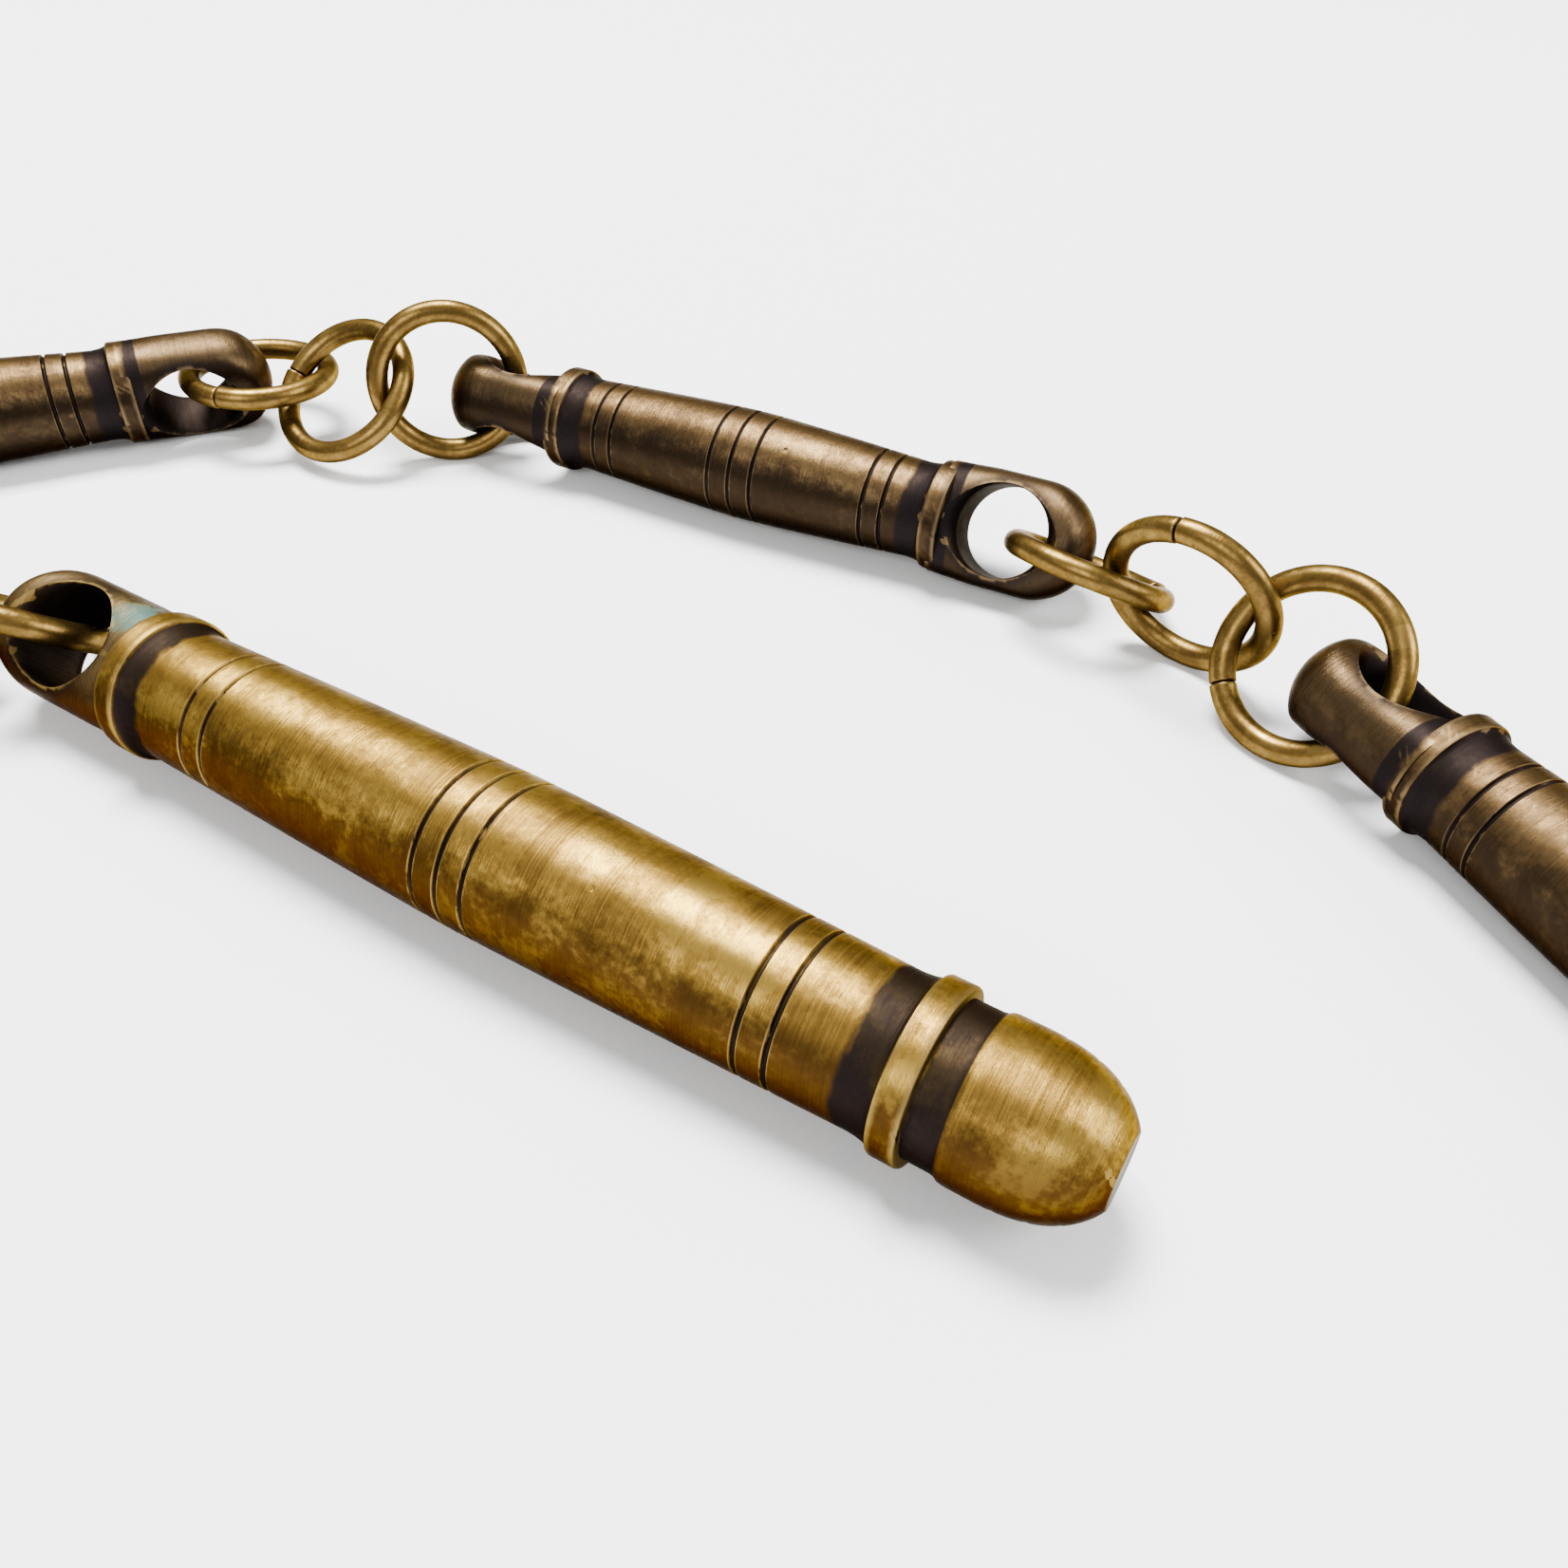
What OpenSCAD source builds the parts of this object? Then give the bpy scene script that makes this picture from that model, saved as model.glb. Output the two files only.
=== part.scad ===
// Pocket watch chain laid out in a loose U: turned bars linked by jump rings,
// a dome-ended terminal bar at one end and a swivel clasp at the other.
// Every link is placed from the one before it, so a changed size carries along the chain.

/* [Jump rings] */
// Diameter of the round wire that the rings are bent from
ring_wire_d = 1.25; // [1:0.05:1.6]
// Outside diameter of a ring
ring_outer_d = 9.25; // [8.2:0.05:11.5]

/* [Terminal bar] */
// Length of the grooved barrel between its two collars
term_body_len = 35.8; // [28:0.1:46]
// Diameter in the middle of the barrel
term_mid_d = 6.6; // [6.2:0.05:7.4]
// Diameter at the ends of the barrel
term_end_d = 5.76; // [5.2:0.02:6.1]
// Diameter of the two collars
term_collar_d = 6.5; // [6.3:0.05:7.4]
// Length of the end beyond the dome-side collar
term_dome_len = 6.3; // [5:0.1:8]
// Diameter of the dome where it starts
term_dome_d = 6; // [5.4:0.1:6.2]
// Diameter of the small flat on the tip of the dome
term_tip_d = 2.7; // [1.6:0.1:3.6]
// Width of the terminal bar's eye across its hole
term_eye_width = 6; // [5.9:0.05:6.6]

/* [Link bars] */
// Length of the grooved barrel between its two collars
link_body_len = 22.1; // [17:0.1:28]
// Diameter in the middle of the barrel
link_mid_d = 6; // [5.4:0.02:6.6]
// Diameter at the ends of the barrel
link_end_d = 5; // [4.9:0.02:5.5]
// Diameter of the two collars
link_collar_d = 5.8; // [5.6:0.05:6.8]
// Width of a link bar's eye across its hole
link_eye_width = 6.2; // [5.9:0.05:7.2]

/* [Eyes] */
// Diameter of the hole drilled across an eye
eye_hole_d = 4.8; // [4.2:0.05:5.2]
// Chamfer round each mouth of the hole
eye_chamfer = 0.6; // [0.2:0.05:0.7]
// Thickness of an eye along its hole
eye_thick = 4.6; // [4.2:0.05:5.2]
// Metal between the hole and the rounded end of a bar
eye_end_wall = 2.3; // [1.8:0.1:2.6]
// Turn between the two eyes of a link bar
eye_turn = 90; // [60:5:90]

/* [Turned detail] */
// Length of a link bar's collar along the bar
link_collar_len = 1; // [0.6:0.1:1.6]
// Length of the terminal bar's collars along the bar
term_collar_len = 1.1; // [0.6:0.1:1.8]
// Length of the hollow flare between a barrel and its collar
cove_len = 1; // [0.5:0.1:1.6]
// Width of a scribed groove
groove_w = 0.24; // [0.1:0.02:0.4]
// Depth of a scribed groove
groove_depth = 0.14; // [0.05:0.01:0.25]

/* [Swivel clasp] */
// Inside diameter of the swivel eye
swivel_hole_d = 4.6; // [4.2:0.1:6]
// Diameter of the wire and stem of the swivel eye
swivel_wire_d = 1.4; // [1.2:0.1:1.7]
// Inside width of the hook
hook_gap = 5.6; // [5:0.1:7.5]
// Inside length of the hook
hook_len = 9; // [8:0.1:12]
// Width of the metal round the hook
hook_wall = 2; // [1.8:0.1:2.6]
// Thickness of the hook
hook_thick = 2.6; // [2.2:0.1:3.2]
// Diameter of the pin that the gate turns on
gate_pin_d = 0.9; // [0.8:0.05:1.1]

/* [Fits] */
// Clearance round a turning pin or stem
run_clear = 0.05; // [0.03:0.01:0.08]
// Clearance beside the gate and between linked wires
side_clear = 0.1; // [0.06:0.02:0.2]

/* [Hidden] */
LINK_BARS = 4;
JUMP_RINGS = 15;
$fn = 64;
eps = 0.01;

// Colours
brass = [0.66, 0.51, 0.24];
bronze = [0.43, 0.33, 0.21];
ring_brass = [0.58, 0.44, 0.21];
pale_brass = [0.7, 0.6, 0.38];
spring_steel = [0.55, 0.56, 0.58];

// Rings, and how far apart two linked pieces lie when pulled taut, centre to centre
wire_r = ring_wire_d / 2;
ring_r = (ring_outer_d - ring_wire_d) / 2;
ring_stretch = 2 * (ring_r - wire_r) - side_clear;
eye_stretch = ring_r + eye_hole_d / 2 - wire_r - side_clear;
swivel_stretch = ring_r + swivel_hole_d / 2 - wire_r - side_clear;

// Both kinds of bar, measured along the axis from the middle groove
barrel_power = 1.3;                            // how a barrel swells towards its middle
cove_bow = 0.04;                               // how far the flare has risen at its middle
eye_face_r = 5;                                // curve across the two faces of an eye
term_half = term_body_len / 2;
term_rim = term_half + term_collar_len;
term_eye_neck = 1.4;                           // plain neck between the collar and the eye's hole
term_eye_x = -(term_rim + term_eye_neck + eye_hole_d / 2 + eye_chamfer);
term_eye_end = term_eye_x - eye_hole_d / 2 - eye_end_wall;
term_grooves = [-14, -12.8, -1.2, 0, 1.2, 12.8, 14];
recess_len = 1.3;                              // dark recess between the collar and the dome
recess_d = 5.7;
dome_steps = 12;
dome_power = 2.7;                              // above 2, the dome is fuller than an ellipse
link_half = link_body_len / 2;
link_rim = link_half + link_collar_len;
link_eye_x = link_rim + eye_hole_d / 2 + eye_chamfer;
link_eye_end = link_eye_x + eye_hole_d / 2 + eye_end_wall;
link_grooves = [-8.8, -7.7, -1.3, 0, 1.3, 7.7, 8.8];

// Swivel clasp, measured from the middle of the swivel eye towards the nose
stem_r = swivel_wire_d / 2;
swivel_r = swivel_hole_d / 2 + stem_r;
shoulder_len = 0.4;
shoulder_r = stem_r + 0.45;
barrel_r = 2.1;
barrel_x = swivel_r + stem_r + shoulder_len;   // where the clasp's barrel starts
barrel_wall = 1.5;
window_x = barrel_x + barrel_wall;             // opening that shows the rivet of the stem
rivet_len = 0.7;
rivet_r = stem_r + 0.4;
window_len = rivet_len + 0.9;
window_w = 2 * rivet_r + 0.4;
base_x = window_x + window_len;                // solid base of the hook
base_len = 3.2;
base_slope = 0.9;                              // length in which the base widens
hook_x = base_x + base_len;                    // where the inside of the hook starts
hook_out_r = hook_gap / 2 + hook_wall;
nose_x = hook_x + hook_len - hook_gap / 2;     // centre of the hook's round nose
slot_w = 1.2;                                  // slot across the base that the gate's tang turns in
tang_r = 1.15;
pivot_x = hook_x - 1.2;
pivot_y = -(hook_out_r - tang_r - 0.1);
slot_x = pivot_x - tang_r - 0.15;
slot_y = pivot_y + tang_r + 0.5;               // floor of the slot
gate_root = 0.2;                               // room between the gate and the base
gate_bevel = 1.2;                              // cut at the gate's root that lets it swing in
lap_len = 1.2;                                 // how far the hook's tip laps the gate's end
spring_t = 0.22;
spring_w = slot_w - 0.3;

// How the terminal bar lies: place of its middle, heading, and lean of its eye's mouth from upright
term_lie = [-9.97, 36.2, -32, 35];
// How each ring lies: heading of the step to it, how far that step is stretched, the way its
// upper face looks, its tilt from flat, and how many wires high it is perched
ring_lie = [
    [151, 0.86, 67, 41, 0], [-153, 0.89, -60, 64, 0], [-132, 0.92, 72, 10, 1.5],
    [80, 0.82, -14, 73, 0], [57, 0.94, 128, 41, 0.3], [17, 0.93, 100, 79, 0],
    [13, 0.72, 72, 3, 2.1], [-24, 0.97, -124, 39, 0.5], [-2, 0.94, -78, 80, 0],
    [-35, 0.85, 49, 30, 0], [-54, 0.97, 50, 73, 0], [-47, 0.98, -141, 57, 0],
    [-63, 0.82, 38, 36, 0], [-30, 0.95, -123, 36, 0], [-11, 0.92, 59, 47, 0]
];
// How each link bar lies: heading and stretch of the step to its near eye, its own heading, and the
// lean of its near eye's mouth
bar_lie = [[-192, 0.76, 164, 78], [-2, 0.75, 23, 18], [2, 0.82, -26, -30], [-49, 0.76, -66, -22]];
// How the clasp lies: heading and stretch of the step to its swivel eye, and its own heading
clasp_lie = [0, 0.66, 0];
// The middle of the outline that the chain covers
lay_centre = [-1.5, 43.1];

function along(a) = [cos(a), sin(a), 0];
// End of a step of length reach from point p along heading a to height z
function step(p, a, reach, z) =
    [p.x, p.y, z] + sqrt(reach * reach - (z - p.z) * (z - p.z)) * along(a);
function ring_height(r) = wire_r + ring_r * sin(r[3]) + r[4] * ring_wire_d;

RUN = JUMP_RINGS / (LINK_BARS + 1);            // rings between two bars
link_z = max(link_mid_d, link_collar_d, link_eye_width) / 2;
term_z = max(term_mid_d, term_collar_d, term_eye_width) / 2;
term_at = [term_lie[0] - lay_centre[0], term_lie[1] - lay_centre[1], term_z];

// Where the chain leaves bar j, with the terminal bar as bar 0
function exit_eye(j) =
    j == 0 ? term_at + term_eye_x * along(term_lie[2]) : bar_at(j) + link_eye_x * along(bar_lie[j - 1][2]);
// Centre of ring i
function ring_at(i) =
    let (r = ring_lie[i - 1], z = ring_height(r))
    i % RUN == 1 ? step(exit_eye(floor(i / RUN)), r[0], r[1] * eye_stretch, z)
                 : step(ring_at(i - 1), r[0], r[1] * ring_stretch, z);
// Middle of link bar j
function bar_at(j) =
    let (b = bar_lie[j - 1])
    step(ring_at(RUN * j), b[0], b[1] * eye_stretch, link_z) + link_eye_x * along(b[2]);
function clasp_at() =
    step(ring_at(JUMP_RINGS), clasp_lie[0], clasp_lie[1] * swivel_stretch, barrel_r);

// Radius of a barrel at a distance s from its middle
function barrel(s, half, mid_d, end_d) =
    (mid_d - (mid_d - end_d) * pow(min(1, abs(s) / half), barrel_power)) / 2;

// A solid turned about the X axis from an outline of [distance, radius] points
module turned(outline) {
    rotate([90, 0, 90]) rotate_extrude() polygon([for (p = outline) [p[1], p[0]]]);
}

// Grooved barrel, flares and collars of a bar, from collar to collar
module grooved_body(half, rim, mid_d, end_d, collar_d, grooves) {
    flare = half - cove_len;
    function r(s) = barrel(s, half, mid_d, end_d);
    turned(concat(
        [[-rim, 0], [-rim, collar_d / 2], [-half, collar_d / 2], [-half + cove_len / 2, r(half) + cove_bow]],
        [[-flare, r(flare)]],
        [for (g = grooves) if (abs(g) < flare - groove_w) each [
            [g - groove_w / 2, r(g)], [g, r(g) - groove_depth], [g + groove_w / 2, r(g)]
        ]],
        [[flare, r(flare)]],
        [[half - cove_len / 2, r(half) + cove_bow], [half, collar_d / 2], [rim, collar_d / 2], [rim, 0]]
    ));
}

// Round-ended bulb with two crowned faces, pointing along +X from neck_x to end_x
module eye_blank(neck_x, end_x, width) {
    bulb_r = width / 2;
    face_shift = eye_face_r - eye_thick / 2;
    intersection() {
        union() {
            translate([neck_x, 0, 0]) rotate([0, 90, 0]) cylinder(r = bulb_r, h = end_x - bulb_r - neck_x);
            translate([end_x - bulb_r, 0, 0]) sphere(r = bulb_r);
        }
        translate([neck_x, 0, 0]) rotate([90, 0, 90]) linear_extrude(end_x - neck_x + eps) intersection() {
            translate([0, face_shift]) circle(r = eye_face_r);
            translate([0, -face_shift]) circle(r = eye_face_r);
        }
    }
}

// Hole across an eye, with a chamfer at each mouth
module eye_hole(x) {
    translate([x, 0, 0]) {
        cylinder(d = eye_hole_d, h = eye_thick + 1, center = true);
        for (side = [0, 1]) mirror([0, 0, side]) translate([0, 0, eye_thick / 2 - eye_chamfer])
            cylinder(r1 = eye_hole_d / 2, r2 = eye_hole_d / 2 + eye_chamfer, h = eye_chamfer + eps);
    }
}

// Places children at a bar's middle, turned along its heading, with its near eye's mouth leaning
module lay_bar(place, heading, lean) {
    translate(place) rotate([lean, 0, heading]) children();
}

module link_bar(j) {
    lie = bar_lie[j - 1];
    color(bronze) lay_bar(bar_at(j), lie[2], lie[3]) difference() {
        union() {
            grooved_body(link_half, link_rim, link_mid_d, link_end_d, link_collar_d, link_grooves);
            mirror([1, 0, 0]) eye_blank(link_half, link_eye_end, link_eye_width);
            rotate([eye_turn, 0, 0]) eye_blank(link_half, link_eye_end, link_eye_width);
        }
        eye_hole(-link_eye_x);
        rotate([eye_turn, 0, 0]) eye_hole(link_eye_x);
    }
}

module terminal_bar() {
    tip_r = term_tip_d / 2;
    dome_r = term_dome_d / 2;
    tip_x = term_rim + term_dome_len;
    swell_x = term_rim + recess_len + 0.8;         // where the dome stops being straight
    // Length at which the dome's curve would close to a point; the flat tip cuts it short
    sweep = (tip_x - swell_x) / pow(1 - pow(tip_r / dome_r, 2), 1 / dome_power);
    color(brass) lay_bar(term_at, term_lie[2], term_lie[3]) difference() {
        union() {
            grooved_body(term_half, term_rim, term_mid_d, term_end_d, term_collar_d, term_grooves);
            mirror([1, 0, 0]) eye_blank(term_half, -term_eye_end, term_eye_width);
            turned(concat(
                [[term_half, 0], [term_half, recess_d / 2], [term_rim + recess_len, recess_d / 2]],
                [[term_rim + recess_len, dome_r]],
                [for (k = [0:dome_steps]) let (s = (tip_x - swell_x) * sin(90 * k / dome_steps))
                    [swell_x + s, dome_r * sqrt(1 - pow(s / sweep, dome_power))]],
                [[tip_x, 0]]
            ));
        }
        eye_hole(term_eye_x);
    }
}

module jump_ring(i) {
    lie = ring_lie[i - 1];
    color(ring_brass) translate(ring_at(i)) rotate([0, lie[3], lie[2]])
        rotate_extrude() translate([ring_r, 0]) circle(r = wire_r, $fn = 32);
}

// Places children at the middle of the swivel eye, along the clasp's heading
module lay_clasp() {
    translate(clasp_at()) rotate([0, 0, clasp_lie[2]]) children();
}

// A rod along X from x1 to x2
module rod(x1, x2, r) {
    translate([x1, 0, 0]) rotate([0, 90, 0]) cylinder(r = r, h = x2 - x1);
}

// Eye with its stem, held in the clasp's barrel by a riveted end
module swivel_eye() {
    rivet_x = window_x + side_clear;
    color(pale_brass) lay_clasp() {
        rotate_extrude() translate([swivel_r, 0]) circle(r = stem_r, $fn = 32);
        difference() {
            union() {
                rod(swivel_r, rivet_x + eps, stem_r);
                rod(barrel_x - shoulder_len, barrel_x - side_clear, shoulder_r);
                rod(rivet_x, rivet_x + rivet_len, rivet_r);
            }
            cylinder(r = swivel_hole_d / 2, h = swivel_wire_d * 2, center = true);
        }
    }
}

// Flat outline of the hook before the gate's gap is cut
module hook_outline() {
    difference() {
        union() {
            polygon([
                [base_x - eps, -barrel_r], [base_x - eps, barrel_r], [base_x + base_slope, hook_out_r],
                [nose_x, hook_out_r], [nose_x, -hook_out_r], [base_x + base_slope, -hook_out_r]
            ]);
            translate([nose_x, 0]) circle(r = hook_out_r);
        }
        translate([hook_x, -hook_gap / 2]) square([nose_x - hook_x, hook_gap]);
        translate([nose_x, 0]) circle(d = hook_gap);
        // Gap that the gate closes, stepped where the tip laps the gate's end
        translate([hook_x, -hook_out_r - 1]) square([nose_x - lap_len - hook_x, hook_wall + 1 + eps]);
        translate([hook_x, -hook_out_r + hook_wall / 2]) square([nose_x - hook_x, hook_wall / 2 + eps]);
    }
}

module clasp_hook() {
    color(pale_brass) lay_clasp() difference() {
        union() {
            rod(barrel_x, base_x + base_slope, barrel_r);
            translate([0, 0, -hook_thick / 2]) linear_extrude(hook_thick) hook_outline();
        }
        rod(barrel_x - 1, window_x + 1, stem_r + run_clear);
        translate([window_x, -window_w / 2, -barrel_r - 1]) cube([window_len, window_w, 2 * barrel_r + 2]);
        translate([slot_x, -hook_out_r - 1, -slot_w / 2])
            cube([hook_x + 1 - slot_x, hook_out_r + 1 + slot_y, slot_w]);
        translate([pivot_x, pivot_y, 0]) cylinder(d = gate_pin_d, h = 2 * hook_thick, center = true);
    }
}

// Gate that closes the hook, turning inwards on its pin
module clasp_gate() {
    root_x = hook_x + gate_root;
    tip_x = nose_x - side_clear;
    tang_w = slot_w - 2 * side_clear;
    plate_t = hook_thick - 2 * side_clear;
    color(pale_brass) lay_clasp() difference() {
        union() {
            translate([0, 0, -plate_t / 2]) linear_extrude(plate_t) polygon([
                [root_x, -hook_out_r], [tip_x - lap_len, -hook_out_r],
                [tip_x - lap_len, -hook_out_r + hook_wall / 2 + side_clear],
                [tip_x, -hook_out_r + hook_wall / 2 + side_clear], [tip_x, -hook_gap / 2],
                [root_x + gate_bevel, -hook_gap / 2], [root_x, pivot_y]
            ]);
            translate([pivot_x, pivot_y, -tang_w / 2]) cylinder(r = tang_r, h = tang_w);
            translate([pivot_x, pivot_y - tang_r, -tang_w / 2])
                cube([root_x + gate_bevel / 2 - pivot_x, tang_r + gate_pin_d / 2, tang_w]);
        }
        translate([pivot_x, pivot_y, 0]) cylinder(r = gate_pin_d / 2 + run_clear, h = 2 * hook_thick, center = true);
    }
}

module gate_pin() {
    color(pale_brass) lay_clasp() translate([pivot_x, pivot_y, 0])
        cylinder(d = gate_pin_d, h = hook_thick, center = true);
}

// Leaf spring in the slot, seated on the slot's floor and bearing on the gate's tang
module gate_spring() {
    rest_y = pivot_y + tang_r + 0.02;
    color(spring_steel) lay_clasp() translate([0, 0, -spring_w / 2]) linear_extrude(spring_w) polygon([
        [slot_x, slot_y], [slot_x, slot_y - spring_t], [slot_x + 0.5, slot_y - spring_t],
        [pivot_x, rest_y], [pivot_x + 0.4, rest_y], [pivot_x + 0.4, rest_y + spring_t],
        [pivot_x, rest_y + spring_t], [slot_x + 0.5, slot_y]
    ]);
}

terminal_bar();
for (j = [1:LINK_BARS]) link_bar(j);
for (i = [1:JUMP_RINGS]) jump_ring(i);
swivel_eye();
clasp_hook();
clasp_gate();
gate_pin();
gate_spring();
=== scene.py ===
# %% [markdown]
# # A pocket watch chain in worn brass
# The chain is a terminal bar, four link bars, sets of three jump rings between them, and a swivel
# clasp at the far end. The CAD model already fixes where every link lies, so this lesson only
# gives each link a finer shape and a finish. Loading the frame first means that every later
# piece can be measured against it.

# %% Load the fixed frame
import math
import bmesh
import bpy
import numpy as np
from mathutils import Matrix, Vector


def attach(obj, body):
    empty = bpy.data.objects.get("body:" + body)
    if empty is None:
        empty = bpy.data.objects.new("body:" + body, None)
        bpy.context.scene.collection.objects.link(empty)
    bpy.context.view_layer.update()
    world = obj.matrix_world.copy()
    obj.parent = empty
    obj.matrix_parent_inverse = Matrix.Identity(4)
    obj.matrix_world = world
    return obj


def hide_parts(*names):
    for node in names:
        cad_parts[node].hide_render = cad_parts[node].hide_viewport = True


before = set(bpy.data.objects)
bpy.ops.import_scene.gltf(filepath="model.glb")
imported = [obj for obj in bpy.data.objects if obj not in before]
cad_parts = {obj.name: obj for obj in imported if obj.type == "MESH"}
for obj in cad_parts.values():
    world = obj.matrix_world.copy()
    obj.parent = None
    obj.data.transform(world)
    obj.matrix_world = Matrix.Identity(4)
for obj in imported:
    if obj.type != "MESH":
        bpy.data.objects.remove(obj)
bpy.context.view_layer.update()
MM = 0.001

# %% [markdown]
# ## The camera
# The chain lies on a table and is seen from low in front, close enough for the terminal bar to
# fill most of the view. A wide lens gives that strong perspective. The camera is placed by a
# position and three plain turns: how far it looks down, how far it looks aside, and its roll.


# %% Place the camera
def link_object(name, data):
    obj = bpy.data.objects.new(name, data)
    bpy.context.scene.collection.objects.link(obj)
    return obj


def rotation(degrees, axis):
    return Matrix.Rotation(math.radians(degrees), 4, axis)


camera_data = bpy.data.cameras.new("table_camera")
camera_data.sensor_width = 36
camera_data.lens = 30.5
camera_data.clip_start = 0.001
camera = link_object("table_camera", camera_data)
bpy.context.scene.camera = camera
look_down, look_right, roll = 41.4, 1.46, 2.2    # degrees
place = Matrix.Translation(Vector((1.5, -43.1, 39)) * MM)
aim = rotation(-look_right, "Z") @ rotation(90 - look_down, "X")
camera.matrix_world = place @ aim @ rotation(roll, "Z")
print("camera at", tuple(round(v / MM, 1) for v in camera.matrix_world.translation), "mm")

# %% [markdown]
# ## Skinned shapes
# A bar is turned on a lathe, so its mesh is an outline spun about the X axis. Building the rings
# of points one by one, in place of a Screw modifier, lets the outline be as fine as the scribed
# grooves need while the barrel between them stays light. Sizes are in millimetres in the piece's
# own space, and they are turned into metres when the mesh is made.


# %% Skin rings of points, and spin an outline about the X axis
def skinned_mesh(name, rings, closed=False):
    """A mesh from loops of points. A closed row joins up with itself, an open one gets end caps."""
    bm = bmesh.new()
    loops = [[bm.verts.new(Vector(p) * MM) for p in ring] for ring in rings]
    following = loops[1:] + loops[:1] if closed else loops[1:]
    for one, two in zip(loops, following):
        n = len(one)
        for k in range(n):
            bm.faces.new((one[k], one[(k + 1) % n], two[(k + 1) % n], two[k]))
    if not closed:
        bm.faces.new(list(reversed(loops[0])))
        bm.faces.new(loops[-1])
    bmesh.ops.recalc_face_normals(bm, faces=bm.faces)
    mesh = bpy.data.meshes.new(name)
    bm.to_mesh(mesh)
    bm.free()
    return mesh


def full_turn(steps):
    """Angles evenly spaced round a circle."""
    return [2 * math.pi * k / steps for k in range(steps)]


def turned_rings(outline, segments=112):
    spin = full_turn(segments)
    return [[(x, r * math.cos(a), r * math.sin(a)) for a in spin] for x, r in outline]


print("lathe helpers ready")

# %% [markdown]
# ## The outline of a grooved barrel
# The barrel swells a little towards its middle. Fine grooves are scribed round it, in pairs near
# the ends and three in the middle. At each end it flares in a hollow curve up to a collar with
# softened edges. Putting more points where the outline bends keeps the highlights crisp there.

# %% Sizes of the two kinds of bar
LINK = dict(half=11.05, collar_len=1.0, mid_d=6.0, end_d=5.0, collar_d=5.8)
TERM = dict(half=17.9, collar_len=1.1, mid_d=6.6, end_d=5.76, collar_d=6.5)
LINK_GROOVES, TERM_GROOVES = (0, 1.3, 7.7, 8.8), (0, 1.2, 12.8, 14)
LINK_RIM = LINK["half"] + LINK["collar_len"]
TERM_RIM = TERM["half"] + TERM["collar_len"]
print("middle of the barrel to the collar's rim:", LINK_RIM, "and", TERM_RIM, "mm")


# %% Outline of a barrel, its flares and its collars
def barrel_radius(x, half, mid_d, end_d):
    return (mid_d - (mid_d - end_d) * min(1, abs(x) / half) ** 1.3) / 2


def barrel_stations(length, grooves, width):
    """Places along half a barrel, closer together in each groove."""
    stations = set(np.linspace(0, length, 46))
    for g in grooves:
        stations |= {g + width * k / 8 for k in range(-6, 7) if g + width * k / 8 >= 0}
    return sorted(stations)


def grooved_outline(half, collar_len, mid_d, end_d, collar_d, grooves, cove=1.0, depth=0.15, width=0.26):
    flare, rim, collar_r = half - cove, half + collar_len, collar_d / 2
    right = []
    for x in barrel_stations(flare, grooves, width):
        cut = sum(depth * math.exp(-((x - g) / (width * 0.36)) ** 4) for g in grooves)
        right.append((x, barrel_radius(x, half, mid_d, end_d) - cut))
    start_r, top_r = barrel_radius(flare, half, mid_d, end_d), collar_r - 0.1
    for k in range(1, 9):                       # hollow flare, a quarter of an ellipse
        a = math.pi / 2 * k / 9
        right.append((flare + cove * math.sin(a), top_r - (top_r - start_r) * math.cos(a)))
    soft = 0.12                                 # how far a collar's edges are softened
    bend = soft * 0.3
    right += [(half, collar_r - soft), (half + bend, collar_r - bend), (half + soft, collar_r)]
    right += [(half + soft + (collar_len - 2 * soft) * k / 4, collar_r) for k in range(1, 4)]
    right += [(rim - soft, collar_r), (rim - bend, collar_r - bend), (rim, collar_r - soft)]
    left = [(-x, r) for x, r in reversed(right) if x > 0]
    return left + right


link_outline = grooved_outline(grooves=LINK_GROOVES, **LINK)
term_outline = grooved_outline(grooves=TERM_GROOVES, **TERM)
print("outline points:", len(link_outline), len(term_outline))

# %% [markdown]
# ## The eyes
# Each bar ends in a bulb with two slightly crowned faces and a hole drilled across it, opened
# out at both mouths. The bulb is skinned from cross-sections, each the smooth lesser of a circle
# and the crowned faces. The hole is a turned cutter with flared ends, taken away by a Boolean:
# that leaves a true bore wall for the jump ring to sit in.

# %% Cross-sections of a bulb
HOLE_D, EYE_T, END_WALL, CHAMFER = 4.8, 4.6, 2.3, 0.6
CROWN_R, CORNER = 5.0, 22                       # curve of the faces; how crisply they meet the circle
WAIST_LEN, WAIST = 2.6, 0.96                    # the bulb narrows to this share beside the collar


def bulb_rings(neck_x, end_x, width, segments=96, steps=64):
    bulb_r, shift = width / 2, CROWN_R - EYE_T / 2
    rings = []
    for k in range(steps + 1):
        x = neck_x + (end_x - 0.002 - neck_x) * (1 - (1 - k / steps) ** 1.7)
        over = max(0.0, x - (end_x - bulb_r))
        rise = min(1.0, (x - neck_x) / WAIST_LEN)
        round_r = math.sqrt(max(1e-4, bulb_r ** 2 - over ** 2))
        round_r *= WAIST + (1 - WAIST) * rise * rise * (3 - 2 * rise)
        ring = []
        for a in full_turn(segments):
            sine = abs(math.sin(a))
            face = -shift * sine + math.sqrt(shift ** 2 * sine ** 2 + CROWN_R ** 2 - shift ** 2)
            r = (round_r ** -CORNER + face ** -CORNER) ** (-1 / CORNER)
            ring.append((x, r * math.cos(a), r * math.sin(a)))
        rings.append(ring)
    return rings


print("the bulb's faces are", EYE_T, "mm apart")


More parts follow.
